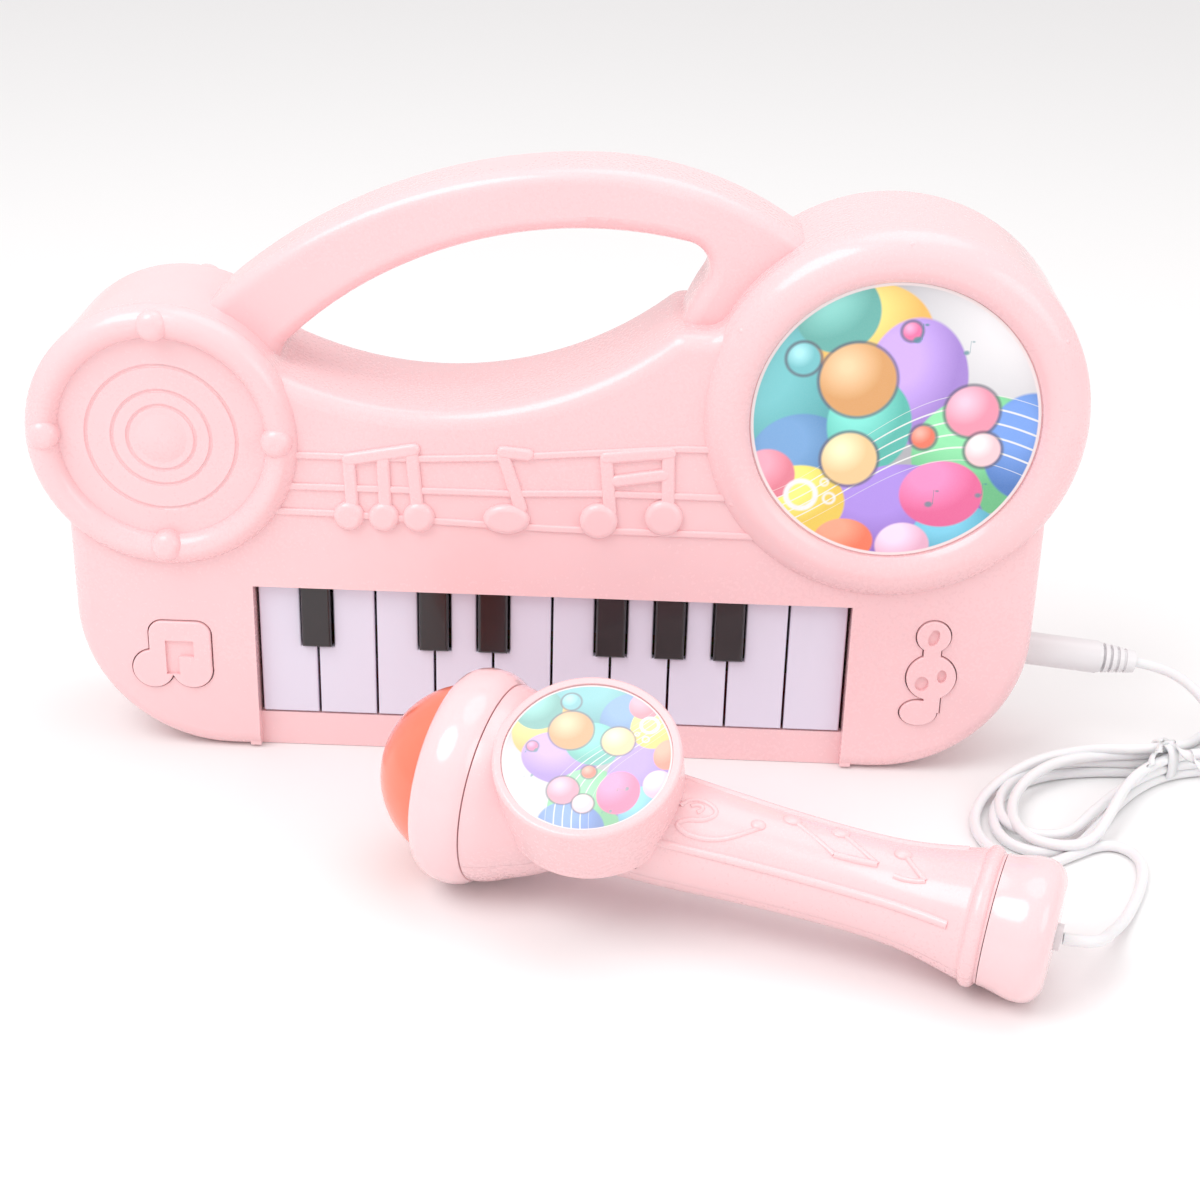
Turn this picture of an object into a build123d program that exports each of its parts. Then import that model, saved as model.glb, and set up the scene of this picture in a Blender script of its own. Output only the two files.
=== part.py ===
from build123d import *
import os
from math import atan2, cos, degrees, radians, sin, sqrt, tan

# Toy electronic keyboard standing on its lower edge, face towards -Y.
# Origin: centre of the flat standing base. +X right, +Z up. Millimetres.

# ---- case ----
half_width = 133.5
panel_y = -22.5
back_y = 22.5
parting_y = 1.0
wall = 2.4
edge_radius = 5.0
corner_radius = 42.0
side_top_z = 80.0
drum_x, drum_z, drum_radius = -105.6, 94.5, 36.5
bezel_x, bezel_z, bezel_radius = 90.1, 106.1, 51.7
saddle_x, saddle_z, saddle_radius = -33.0, 204.4, 100.0
lobe_blend = 4.0
saddle_blend = 6.0
saddle_end_z = 128.0

# ---- carrying handle ----
handle_front_y = -12.5
handle_back_y = 11.5
handle_edge_radius = 4.0
handle_top_z = 168.3
handle_mid_x = 9.0
handle_left_radius = 152.0
handle_right_radius = 95.0
handle_thickness = 16.3
grip_left_radius = 117.6
grip_end_gap = 9.5
grip_corner_radius = 7.0

# ---- keys ----
white_count = 10
key_pitch = 16.5
key_gap = 0.7
key_bottom_z = 10.9
key_top_z = 67.0
key_face_y = -19.0
key_plate = 2.4
black_after = [1, 3, 4, 6, 7, 8]
black_width = 8.2
black_bottom_z = 32.5
black_proud = 2.0
black_clear = 0.6
bed_top_z = 51.5
bed_gap = 0.5
pivot_y, pivot_z = -15.0, 66.0
rod_radius = 1.5
running_gap = 0.05
barrel_radius = 2.9
white_barrel = 7.0
black_barrel = 6.6
key_travel_deg = 3.5
plunger_z = 40.0
plunger_half = 2.5
contact_gap = 0.1

# ---- key bed, boards ----
strip_depth = 3.8
cheek = 3.0
board = 1.6
board_y = -9.5
pad_sheet = 0.8
pad_height = 1.7
screw_radius = 1.3
pilot_gap = 0.05
head_radius = 2.8
boss_radius = 3.8
seat_y = 6.0

# ---- push buttons ----
button_travel = 1.8
button_proud = 0.8
button_gap = 0.35
button_flange = 1.2
figure_depth = 1.1
lug_height = 4.9
lug_radius = 4.3
lug_edge = 3.0
note_x, note_z = -104.25, 31.5
clef_x, clef_z = 106.0, 31.0

# ---- battery bay ----
cell_radius, cell_length = 7.1, 50.0
cell_pitch = 15.7
bay_z = 38.0
bay_half_width = 31.5
bay_half_height = 24.0
bay_floor_y = 3.8
bay_ledge = 4.4
door_gap = 0.3
door_lap = 2.2
door_seat_y = back_y - 1.0

# ---- speaker ----
speaker_radius = 25.0
speaker_depth = 14.0
magnet_radius = 13.0

# ---- jack, plug and cord ----
jack_z, jack_y, jack_droop = 33.0, -5.0, 6.0
pin_radius = 1.75
plug_radius = 4.7
plug_length = 33.8
cord_radius = 1.5
hank_height = 8.6

# ---- microphone, in its own frame: X along its axis, Z towards the badge ----
mic_origin = Vector(-16.74, -81.29, 28.08)
mic_yaw, mic_slope, badge_tilt = 18.08, 4.167, 62.0
collar_radius = 28.0
dome_radius = 23.5
mic_wall = 1.8
mic_length = 150.0
badge_u, badge_height, badge_radius = 33.5, 25.2, 23.3
label_radius = 20.8
bezel_label_radius = 38.2
label_sheet = 0.3
mic_lift = 120.0

os.makedirs("parts", exist_ok=True)


def save(shape, node):
    export_step(shape, f"parts/{node}.step")


def face_plane(y):
    """Local x is +X and local y is +Z, and the normal looks along -Y."""
    return Plane.XZ.offset(-y)


def slab(sketch, y_low, y_high):
    return extrude(face_plane(y_high) * sketch, amount=y_high - y_low)


def box(x_low, x_high, y_low, y_high, z_low, z_high):
    size = (x_high - x_low, y_high - y_low, z_high - z_low)
    centre = ((x_high + x_low) / 2, (y_high + y_low) / 2, (z_high + z_low) / 2)
    return Pos(*centre) * Box(*size)


def rod_y(x, z, radius, y_low, y_high):
    return slab(Pos(x, z) * Circle(radius), y_low, y_high)


def rod_x(y, z, radius, x_low, x_high):
    length = x_high - x_low
    return Pos((x_low + x_high) / 2, y, z) * Rot(0, 90, 0) * Cylinder(radius, length)


def turned(profile, x, z):
    """Turns a profile (radius, y) about the Y direction through x, z."""
    return Pos(x, 0, z) * revolve(make_face(profile), axis=Axis.Y)


# ---------------------------------------------------------------- case outline
def body_face(grow=0.0):
    """Lower case, both lobes and the saddle between them, seen from the front."""
    tall = side_top_z
    lower = Pos(0, tall / 2) * Rectangle(2 * half_width, tall)
    lower = fillet(lower.vertices().group_by(Axis.Y)[0], corner_radius)
    middle = Pos(-7.5, saddle_end_z - 44) * Rectangle(185, 88)
    middle = middle - Pos(saddle_x, saddle_z) * Circle(saddle_radius)
    face = lower + middle
    face += Pos(drum_x, drum_z) * Circle(drum_radius)
    face += Pos(bezel_x, bezel_z) * Circle(bezel_radius)
    left_x = -half_width
    left_z = drum_z - sqrt(drum_radius**2 - (drum_x - left_x) ** 2)
    right_z = bezel_z - sqrt(bezel_radius**2 - (half_width - bezel_x) ** 2)
    corners = [
        face.vertices().sort_by_distance((left_x, left_z, 0))[0],
        face.vertices().sort_by_distance((half_width, right_z, 0))[0],
    ]
    face = fillet(corners, lobe_blend)
    saddle_corners = face.vertices().filter_by(lambda v: v.Y > 100 and abs(v.X) < 80)
    face = fillet(saddle_corners, saddle_blend)
    if grow:
        face = offset(face, grow, kind=Kind.ARC)
    return face


def arc_z(x, centre_z, radius):
    return centre_z + sqrt(radius**2 - (x - handle_mid_x) ** 2)


def handle_face(grow=0.0):
    """Arched handle, its two roots run into the lobes."""
    left_centre = handle_top_z - handle_left_radius
    right_centre = handle_top_z - handle_right_radius
    left_x, right_x = drum_x + 9, bezel_x - 20
    half_left = (left_x + handle_mid_x) / 2
    half_right = (right_x + handle_mid_x) / 2
    top = (handle_mid_x, handle_top_z)
    left_end = (left_x, arc_z(left_x, left_centre, handle_left_radius))
    right_end = (right_x, arc_z(right_x, right_centre, handle_right_radius))
    left_mid = (half_left, arc_z(half_left, left_centre, handle_left_radius))
    right_mid = (half_right, arc_z(half_right, right_centre, handle_right_radius))
    outline = [
        ThreePointArc(left_end, left_mid, top),
        ThreePointArc(top, right_mid, right_end),
        Line(right_end, (right_x, bezel_z - 20)),
        Line((right_x, bezel_z - 20), (left_x, drum_z)),
        Line((left_x, drum_z), left_end),
    ]
    return make_face(outline) - grip_hole()


def grip_hole():
    """The hand opening under the handle."""
    sink = 4.0
    top_centre = handle_top_z - handle_thickness - grip_left_radius
    hole = Pos(handle_mid_x, top_centre) * Circle(grip_left_radius)
    hole = hole & (Pos(saddle_x, saddle_z) * Circle(saddle_radius + sink))
    hole -= Pos(bezel_x, bezel_z) * Circle(bezel_radius + grip_end_gap)
    return fillet(hole.vertices(), grip_corner_radius)


def rounded_block(face, y_low, y_high, radius):
    block = slab(face, y_low, y_high)
    ends = block.edges().filter_by_position(Axis.Y, y_low, y_low)
    ends += block.edges().filter_by_position(Axis.Y, y_high, y_high)
    return fillet(ends, radius)


def case_outer():
    block = rounded_block(body_face(), panel_y, back_y, edge_radius)
    return block + rounded_block(handle_face(), handle_front_y, handle_back_y, handle_edge_radius)


def case_inner():
    lower = slab(body_face(-wall), panel_y + wall, back_y - wall)
    grip = offset(handle_face(), -wall, kind=Kind.ARC)
    return lower + slab(grip, handle_front_y + wall, handle_back_y - wall)


# ---------------------------------------------------------------- push buttons
def note_face(grow=0.0):
    """Two round note heads under a thick beam."""
    face = Pos(note_x, note_z) * RectangleRounded(17.5 + 2 * grow, 17 + 2 * grow, 4 + grow)
    face += Pos(note_x - 8, note_z - 6.5) * Circle(5.8 + grow)
    face += Pos(note_x + 3, note_z - 6.3) * Circle(5.8 + grow)
    return face


def clef_face(grow=0.0):
    """Clef-like figure: small loop, large loop, stem and ball."""
    face = Pos(clef_x, clef_z + 12.6) * Circle(4.7 + grow)
    face += Pos(clef_x, clef_z + 7.5) * Rectangle(4.8 + 2 * grow, 8 + 2 * grow)
    face += Pos(clef_x + 0.3, clef_z) * Circle(6.9 + grow)
    face += Pos(clef_x + 1.1, clef_z - 7.5) * Rectangle(4.6 + 2 * grow, 7 + 2 * grow)
    face += Pos(clef_x - 2.4, clef_z - 11.2) * Ellipse(5.2 + grow, 3.9 + grow)
    return face


def push_button(outline, x, z, soft_edge):
    front = panel_y - button_proud
    inner = panel_y + wall
    body = slab(outline(0), front, inner + 0.8)
    rim = body.edges().filter_by_position(Axis.Y, front, front)
    body = fillet(rim, soft_edge)
    body += slab(outline(button_flange), inner + 0.2, inner + 1.4)
    tip = board_y - pad_height - button_travel - contact_gap
    return body + rod_y(x, z, 2.2, inner + 1, tip)


def note_button():
    button = push_button(note_face, note_x, note_z, 0.5)
    front = panel_y - button_proud
    hollow = Pos(note_x - 2.3, note_z - 2.7) * Rectangle(3.8, 10.6)
    hollow += Pos(note_x - 0.2, note_z + 0.1) * Rectangle(8, 5)
    return button - slab(hollow, front - 1, front + figure_depth)


def clef_button():
    button = push_button(clef_face, clef_x, clef_z, 0.3)
    front = panel_y - button_proud
    eyes = Pos(clef_x, clef_z + 12.4) * Rot(0, 0, -14) * Ellipse(1.5, 2.6)
    eyes += Pos(clef_x - 2.2, clef_z - 1.9) * Ellipse(1.9, 2.3)
    eyes += Pos(clef_x + 3.2, clef_z + 0.6) * Ellipse(1.3, 2.1)
    return button - slab(eyes, front - 1, front + figure_depth)


# ---------------------------------------------------------------- front shell
case_screw_points = [
    (-126, 52),
    (-105, 13),
    (107, 9.6),
    (126, 60),
    (-64, 96),
    (24, 92),
    (-100, 126),
    (120, 138),
    (handle_mid_x, handle_top_z - handle_thickness / 2),
]
handle_screw = len(case_screw_points) - 1
board_screw_points = [(-90, 28), (90, 28), (-90, 71), (90, 71)]
rib_after = [2, 5, 9]
rib_half = 1.2
rib_clear = 0.5
rib_low_z = 57.0
bed_half = white_count * key_pitch / 2 + bed_gap

top_staff = [(-71, 91.0), (-35, 91.2), (-16, 92.2), (-4, 93.2), (12, 94.6), (34, 96.5), (44, 96.6)]
mid_staff = [(-72, 82.0), (-12, 82.0), (12, 82.9), (50, 82.9)]
low_staff = [(-76, 74.6), (-58, 74.4), (-33, 73.2), (0, 72.1), (57, 71.9)]
note_heads = [(-55.5, 74, 4.2), (-46, 74, 4.2), (-36.5, 74.2, 4.4), (12.4, 75, 5.2), (30, 76.6, 5.2)]
flag_head = (-12.6, 74.6)
head_height = 2.0
ridge_root = 1.2
ridge_edge = 0.7
note_stems = [
    ((-54.6, 78), (-55.2, 90)),
    ((-45.6, 78), (-46, 91.6)),
    ((-36.9, 78), (-38.2, 93.4)),
    ((-8.8, 78), (-13.6, 93)),
    ((15.4, 78), (14, 93.4)),
    ((31, 80), (30.6, 95)),
]
note_beams = [
    ((-55.4, 90.4), (-37.6, 93.8)),
    ((14, 93.4), (31, 95.4)),
    ((17, 86.8), (29.6, 89)),
    ((-13.6, 94), (-7, 93.4)),
]


def ridge(points, radius, height):
    """Round-ended raised line lying on the panel, its upper edge softened."""
    face = Sketch()
    for start, end in zip(points, points[1:]):
        run = Vector(*end) - Vector(*start)
        turn = degrees(atan2(run.Y, run.X))
        middle = (Vector(*start) + Vector(*end)) * 0.5
        face += Pos(middle.X, middle.Y) * Rot(0, 0, turn) * Rectangle(run.length, 2 * radius)
    for x, z in points:
        face += Pos(x, z) * Circle(radius)
    raised = slab(face, panel_y - height, panel_y + ridge_root)
    rim = raised.edges().filter_by_position(Axis.Y, panel_y - height, panel_y - height)
    return fillet(rim, ridge_edge * height)


def note_head(x, z, across, tall):
    """Low oval dome on the panel."""
    raised = slab(Pos(x, z) * Ellipse(across, tall), panel_y - head_height, panel_y + ridge_root)
    rim = raised.edges().filter_by_position(Axis.Y, panel_y - head_height, panel_y - head_height)
    return fillet(rim, 0.85 * head_height)


def staff_relief():
    pieces = [ridge(line, 1.0, 0.8) for line in (top_staff, mid_staff, low_staff)]
    pieces += [ridge(stem, 1.8, 1.2) for stem in note_stems]
    pieces += [ridge(beam, 1.75, 1.35) for beam in note_beams]
    pieces += [note_head(x, z, radius, radius) for x, z, radius in note_heads]
    return pieces + [note_head(*flag_head, 6.4, 4.4)]


def drum_ring():
    """Rounded rim of the drum, its shallow dish and the grooves round the middle."""
    inner, crest, rise = 28.0, 32.4, 3.6
    rim = turned(
        [
            Line((inner, panel_y + 2), (inner, panel_y + 0.4)),
            Spline(
                (inner, panel_y + 0.4),
                (crest - 2, panel_y - rise + 0.5),
                (crest, panel_y - rise),
                (crest + 2.4, panel_y - rise + 0.9),
                (drum_radius, panel_y + 3.4),
            ),
            Line((drum_radius, panel_y + 3.4), (drum_radius, panel_y + 6)),
            Line((drum_radius, panel_y + 6), (drum_radius - 4, panel_y + 6)),
            Line((drum_radius - 4, panel_y + 6), (inner, panel_y + 2)),
        ],
        drum_x,
        drum_z,
    )
    centre = Pos(drum_x, panel_y + 19.2, drum_z) * Sphere(20.4)
    centre &= rod_y(drum_x, drum_z, 8, panel_y - 3, panel_y + 1.2)
    return rim + centre


def drum_grooves():
    cut = Part()
    for radius in (9.2, 13.4, 20.4):
        cut += Pos(drum_x, panel_y, drum_z) * Rot(90, 0, 0) * Torus(radius, 0.55)
    return cut


def drum_lugs():
    lugs = []
    for turn in range(4):
        x = drum_x + 31.4 * cos(radians(90 * turn))
        z = drum_z + 0.6 + 31.4 * sin(radians(90 * turn))
        top = panel_y - lug_height
        lug = rod_y(x, z, lug_radius, top, panel_y + 1)
        lug = fillet(lug.edges().filter_by_position(Axis.Y, top, top), lug_edge)
        lugs.append(lug)
    return lugs


def bezel_ring():
    """Raised ring round the picture label, with six small marks."""
    inner, crest, rise = 38.6, 44.2, 3.8
    ring = turned(
        [
            Line((inner, panel_y + 2), (inner, panel_y - 1.4)),
            Spline(
                (inner, panel_y - 1.4),
                (inner + 1.6, panel_y - 2.9),
                (crest, panel_y - rise),
                (crest + 4, panel_y - rise + 1.5),
                (bezel_radius, panel_y + 3.4),
            ),
            Line((bezel_radius, panel_y + 3.4), (bezel_radius, panel_y + 6)),
            Line((bezel_radius, panel_y + 6), (bezel_radius - 4, panel_y + 6)),
            Line((bezel_radius - 4, panel_y + 6), (inner, panel_y + 2)),
        ],
        bezel_x,
        bezel_z,
    )
    for turn in range(6):
        x = bezel_x + 48.2 * cos(radians(90 + 60 * turn))
        z = bezel_z + 48.2 * sin(radians(90 + 60 * turn))
        ring += Pos(x, panel_y - 1.2, z) * Sphere(1.1)
    return ring


def front_shell():
    half_space = box(-200, 200, -60, parting_y, -20, 220)
    shell = outer & half_space
    shell = shell - (inner & half_space)
    shell += [drum_ring() - inner, bezel_ring() - inner]
    for lug in drum_lugs():
        shell += lug
    shell += staff_relief()
    shell -= drum_grooves()
    strip_y = panel_y + strip_depth
    shell -= box(-bed_half, bed_half, panel_y - 1, strip_y, -1, bed_top_z)
    shell += box(-bed_half - cheek, bed_half + cheek, strip_y, strip_y + wall, 0.8, key_bottom_z + 4)
    for side in (-1, 1):
        near, far = sorted((side * bed_half, side * (bed_half + cheek)))
        shell += box(near, far, panel_y + 1, board_y, 0.8, pivot_z + 8)
    opening_z = key_bottom_z - bed_gap
    shell -= box(-bed_half, bed_half, panel_y - 1, strip_y + 6, opening_z, bed_top_z)
    for after in rib_after:
        x = (after - white_count / 2) * key_pitch
        shell += box(x - rib_half, x + rib_half, panel_y + wall - 0.5, board_y, rib_low_z, pivot_z + 8)
    shell -= rod_x(pivot_y, pivot_z, rod_radius + running_gap, -bed_half - cheek - 1, bed_half + cheek + 1)
    for x, z in board_screw_points:
        shell += rod_y(x, z, 3.0, panel_y + wall - 0.5, board_y)
        shell -= rod_y(x, z, screw_radius + pilot_gap, board_y - 8, board_y + 1)
    for index, (x, z) in enumerate(case_screw_points):
        deep = handle_front_y if index == handle_screw else panel_y
        shell += rod_y(x, z, boss_radius, deep + wall - 0.5, parting_y - 0.1)
        shell -= rod_y(x, z, screw_radius + pilot_gap, -8.6, parting_y + 1)
    shell -= slab(note_face(button_gap), panel_y - 3, panel_y + wall + 1)
    shell -= slab(clef_face(button_gap), panel_y - 3, panel_y + wall + 1)
    shell -= jack_frame * rod_x(0, 0, 3.9 + 0.1, -4, 6)
    return shell


# ---------------------------------------------------------------- rear shell
def bay_box(grow, y_low, y_high):
    return box(-bay_half_width - grow, bay_half_width + grow, y_low, y_high,
               bay_z - bay_half_height - grow, bay_z + bay_half_height + grow)


door_ear = (0.0, bay_z + bay_half_height + 5.6)
slider_x, slider_z, slider_travel = -66.0, 30.0, 6.0
main_board_x, main_board_z = (62.0, 118.0), (84.0, 130.0)
main_board_y = 3.0
main_posts = [(65, 87), (115, 87), (65, 127), (112, 127)]


def door_face(grow=0.0):
    width = 2 * (bay_half_width + door_lap) + 2 * grow
    height = 2 * (bay_half_height + door_lap) + 2 * grow
    face = Pos(0, bay_z) * RectangleRounded(width, height, 2.5)
    return face + Pos(*door_ear) * Circle(5 + grow)


def rear_shell():
    half_space = box(-200, 200, parting_y, 60, -20, 220)
    shell = outer & half_space
    shell = shell - (inner & half_space)
    shell += bay_box(bay_ledge, bay_floor_y - 1.6, back_y - wall + 0.2)
    shell += rod_y(*door_ear, 5.6, bay_floor_y, back_y - wall + 0.2)
    shell -= bay_box(0, bay_floor_y, back_y + 2)
    shell -= slab(door_face(door_gap), back_y - wall, back_y + 2)
    shell -= rod_y(*door_ear, screw_radius + 0.1, back_y - 12, back_y)
    for index, (x, z) in enumerate(case_screw_points):
        deep = handle_back_y if index == handle_screw else back_y
        shell += rod_y(x, z, boss_radius + 0.6, parting_y + 0.1, deep - wall + 0.5)
        shell -= rod_y(x, z, head_radius + 0.4, seat_y, deep + 2)
        shell -= rod_y(x, z, screw_radius + 0.2, -1, seat_y + 1)
    for x, z in main_posts:
        shell += rod_y(x, z, 3, main_board_y + board, back_y - wall + 0.5)
        shell -= rod_y(x, z, screw_radius + pilot_gap, main_board_y, main_board_y + 9)
    collar = rod_y(drum_x, drum_z, speaker_radius + 2.2, back_y - wall - 3, back_y - wall + 0.5)
    shell += collar - rod_y(drum_x, drum_z, speaker_radius + 0.3, back_y - wall - 4, back_y - wall)
    for ring, count in ((0.0, 1), (5.2, 6), (10.4, 12), (15.6, 18)):
        for step in range(count):
            x = drum_x + ring * cos(radians(360 / count * step))
            z = drum_z + ring * sin(radians(360 / count * step))
            shell -= rod_y(x, z, 1.4, back_y - wall - 1, back_y + 1)
    slot_half = slider_travel / 2 + 3.0
    slot_mid = slider_x + slider_travel / 2
    slot_place = Pos(slot_mid, slider_z)
    shell -= slab(slot_place * RectangleRounded(2 * slot_half, 4.6, 1.2), back_y - wall - 1, back_y + 1)
    shell -= slab(slot_place * RectangleRounded(2 * slot_half + 8, 10, 2), back_y - 1.2, back_y + 1)
    return shell


def screw(x, z, seat, tip, reach=0.0):
    """Pan head screw driven along -Y: head on the seat, point towards -Y."""
    head = rod_y(x, z, head_radius - reach, seat, seat + 1.9)
    head = fillet(head.edges().filter_by_position(Axis.Y, seat + 1.9, seat + 1.9), 0.7)
    cross = box(x - 1.6, x + 1.6, seat + 1.1, seat + 3, z - 0.3, z + 0.3)
    cross += box(x - 0.3, x + 0.3, seat + 1.1, seat + 3, z - 1.6, z + 1.6)
    return head - cross + rod_y(x, z, screw_radius, tip, seat)


def case_screws():
    return Part() + [screw(x, z, seat_y, -8.0) for x, z in case_screw_points]


def board_screws():
    fixings = [screw(x, z, board_y + board, board_y - 6) for x, z in board_screw_points]
    for x, z in main_posts:
        flipped = screw(x, z, 0, -(board + 6))
        fixings.append(Pos(0, main_board_y, 0) * mirror(flipped, Plane.XZ))
    return Part() + fixings


# ---------------------------------------------------------------- keys
def pivot_barrel(x, length):
    barrel = rod_x(pivot_y, pivot_z, barrel_radius, x - length / 2, x + length / 2)
    return barrel


def white_key(number):
    left = (number - 1 - white_count / 2) * key_pitch
    right = left + key_pitch
    middle = (left + right) / 2
    back = key_face_y + key_plate
    tall = key_top_z - key_bottom_z
    plate = Pos(middle, key_bottom_z + tall / 2) * Rectangle(key_pitch - key_gap, tall)
    notch = black_width / 2 + black_clear
    notch_z = (key_top_z + black_bottom_z - black_clear) / 2
    notch_tall = key_top_z - black_bottom_z + black_clear + 0.01
    for boundary, black in ((left, number - 1), (right, number)):
        if black in black_after:
            plate -= Pos(boundary, notch_z + 0.5) * Rectangle(2 * notch, notch_tall + 1)
        elif black in rib_after:
            slot_z = rib_low_z - rib_clear
            plate -= Pos(boundary, (slot_z + key_top_z + 1) / 2) * Rectangle(
                2 * (rib_half + rib_clear), key_top_z + 1 - slot_z)
    key = slab(plate, key_face_y, back)
    low_edge = key.edges().filter_by_position(Axis.Y, key_face_y, key_face_y)
    key = fillet(low_edge, 0.5)
    key += box(middle - 6.5, middle + 6.5, back - 0.4, pivot_y + 2.6, key_bottom_z, key_bottom_z + 2)
    hook_front = panel_y + strip_depth + wall + 0.5
    key += box(middle - 4, middle + 4, hook_front, pivot_y + 1.4, 8.2, key_bottom_z + 1)
    waist = (left_in(number, left), right_in(number, right))
    rib_mid = (waist[0] + waist[1]) / 2
    key += box(rib_mid - 1.2, rib_mid + 1.2, back - 0.4, pivot_y + 0.4, key_bottom_z + 1, pivot_z - 1)
    tip = board_y - pad_height - contact_gap - press_depth()
    low = plunger_z - plunger_half
    key += box(rib_mid - 1.2, rib_mid + 1.2, back - 0.4, tip, low, plunger_z + plunger_half)
    key += pivot_barrel(rib_mid, white_barrel)
    return key - rod_x(pivot_y, pivot_z, rod_radius + running_gap, left - 1, right + 1)


def left_in(number, left):
    return left + (black_width / 2 + black_clear if number - 1 in black_after else key_gap / 2)


def right_in(number, right):
    return right - (black_width / 2 + black_clear if number in black_after else key_gap / 2)


def press_depth():
    """How far the low edge of a plunger travels."""
    return (pivot_z - plunger_z + plunger_half) * sin(radians(key_travel_deg))


def black_key(after):
    middle = (after - white_count / 2) * key_pitch
    front = key_face_y - black_proud
    back = key_face_y + key_plate
    top = bed_top_z - bed_gap
    face = Pos(middle, (black_bottom_z + top) / 2) * Rectangle(black_width, top - black_bottom_z)
    block = slab(face, front, back)
    lower = block.edges().filter_by_position(Axis.Y, front, front).sort_by(Axis.Z)[:3]
    key = fillet(lower, 0.8)
    key += box(middle - 3.3, middle + 3.3, key_face_y + 0.5, back, top - 1, key_top_z)
    tip = board_y - pad_height - contact_gap - press_depth()
    low = plunger_z - plunger_half
    key += box(middle - 1.2, middle + 1.2, back - 0.4, tip, low, plunger_z + plunger_half)
    key += pivot_barrel(middle, black_barrel)
    return key - rod_x(pivot_y, pivot_z, rod_radius + running_gap, middle - 5, middle + 5)


def contact_board():
    plate = box(-119, 116, board_y, board_y + board, 24, 75)
    for x, z in board_screw_points:
        plate -= rod_y(x, z, screw_radius + 0.2, board_y - 1, board_y + 3)
    return plate


def key_centres():
    centres = []
    for number in range(1, white_count + 1):
        left = (number - 1 - white_count / 2) * key_pitch
        right = left + key_pitch
        centres.append((left_in(number, left) + right_in(number, right)) / 2)
    centres += [(after - white_count / 2) * key_pitch for after in black_after]
    return centres


def rubber_strip():
    strip = box(-82, 82, board_y - pad_sheet, board_y, plunger_z - 5, plunger_z + 5)
    for x in key_centres():
        strip += rod_y(x, plunger_z, 2.3, board_y - pad_height, board_y - pad_sheet + 0.2)
    return strip


def button_pads():
    pads = []
    for x, z in ((note_x, note_z), (clef_x, clef_z)):
        pad = box(x - 5, x + 5, board_y - pad_sheet, board_y, z - 5, z + 5)
        pads.append(pad + rod_y(x, z, 3, board_y - pad_height, board_y - pad_sheet + 0.2))
    return Part() + pads


# ---------------------------------------------------------------- power and sound
def cell_z(index):
    return bay_z + (index - 1) * cell_pitch


cell_y = bay_floor_y + 0.4 + cell_radius


def batteries():
    cells = []
    for index in range(3):
        turn = 1 if index % 2 else -1
        cell = rod_x(cell_y, cell_z(index), cell_radius, -cell_length / 2, cell_length / 2 - 1)
        cell += rod_x(cell_y, cell_z(index), 2.7, cell_length / 2 - 1.2, cell_length / 2)
        cells.append(cell if turn > 0 else mirror(cell, Plane.YZ))
    return Part() + cells


def battery_contacts():
    plates = []
    for index in range(3):
        for side in (-1, 1):
            near, far = sorted((side * bay_half_width, side * (bay_half_width - 0.5)))
            plate = box(near, far, cell_y - 5, cell_y + 5, cell_z(index) - 5.5, cell_z(index) + 5.5)
            coil_end = side * (cell_length / 2 + 0.4)
            low, high = sorted((coil_end, side * (bay_half_width - 0.4)))
            tube = rod_x(cell_y, cell_z(index), 4.2, low, high)
            tube -= rod_x(cell_y, cell_z(index), 3.2, low - 1, high + 1)
            plates.append(plate + tube)
    return Part() + plates


def battery_door():
    door = slab(door_face(), back_y - wall, back_y)
    rim = door.edges().filter_by_position(Axis.Y, back_y, back_y)
    door = fillet(rim, 0.5)
    for step in range(5):
        z = bay_z - 18 + 2.2 * step
        door -= box(-9, 9, back_y - 0.6, back_y + 1, z, z + 1)
    door -= rod_y(*door_ear, head_radius + 0.3, door_seat_y, back_y + 1)
    return door - rod_y(*door_ear, screw_radius + 0.2, back_y - 5, back_y + 1)


def power_slider():
    x = slider_x
    cap = box(x - 2.6, x + 2.6, back_y - 1.1, back_y + 0.9, slider_z - 3.4, slider_z + 3.4)
    cap = fillet(cap.edges().filter_by_position(Axis.Y, back_y + 0.9, back_y + 0.9), 0.6)
    for step in (-1, 0, 1):
        groove = x + 1.4 * step
        cap -= box(groove - 0.25, groove + 0.25, back_y + 0.4, back_y + 2, slider_z - 2.6, slider_z + 2.6)
    neck = box(x - 1.8, x + 1.8, back_y - wall - 0.5, back_y - 1, slider_z - 2.0, slider_z + 2.0)
    plate = box(x - 7.5, x + 4.5, back_y - wall - 1.5, back_y - wall - 0.2, slider_z - 4.5, slider_z + 4.5)
    lever = box(x - 1.5, x + 1.5, 15.2, back_y - wall - 1.4, slider_z - 1.3, slider_z + 1.3)
    return cap + neck + plate + lever


def power_switch_body():
    mid = slider_x + slider_travel / 2
    body = box(mid - 9, mid + 9, 9, 18.0, slider_z - 4, slider_z + 4)
    body -= box(mid - 6, mid + 6, 14.5, 19, slider_z - 1.8, slider_z + 1.8)
    for step in (-1, 0, 1):
        body += box(mid + 4 * step - 0.3, mid + 4 * step + 0.3, 5.5, 9.2, slider_z - 0.6, slider_z + 0.6)
    return body


speaker_face_y = back_y - wall


def speaker_basket():
    y = speaker_face_y
    profile = Polyline(
        (speaker_radius, y), (speaker_radius, y - 1.2), (speaker_radius - 2.4, y - 2.0),
        (magnet_radius - 0.5, y - speaker_depth + 5), (7, y - speaker_depth + 5),
        (7, y - speaker_depth + 6), (magnet_radius - 1, y - speaker_depth + 6),
        (speaker_radius - 3.4, y - 1.2), (speaker_radius - 3.4, y), (speaker_radius, y),
    )
    return turned([profile], drum_x, drum_z)


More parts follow.
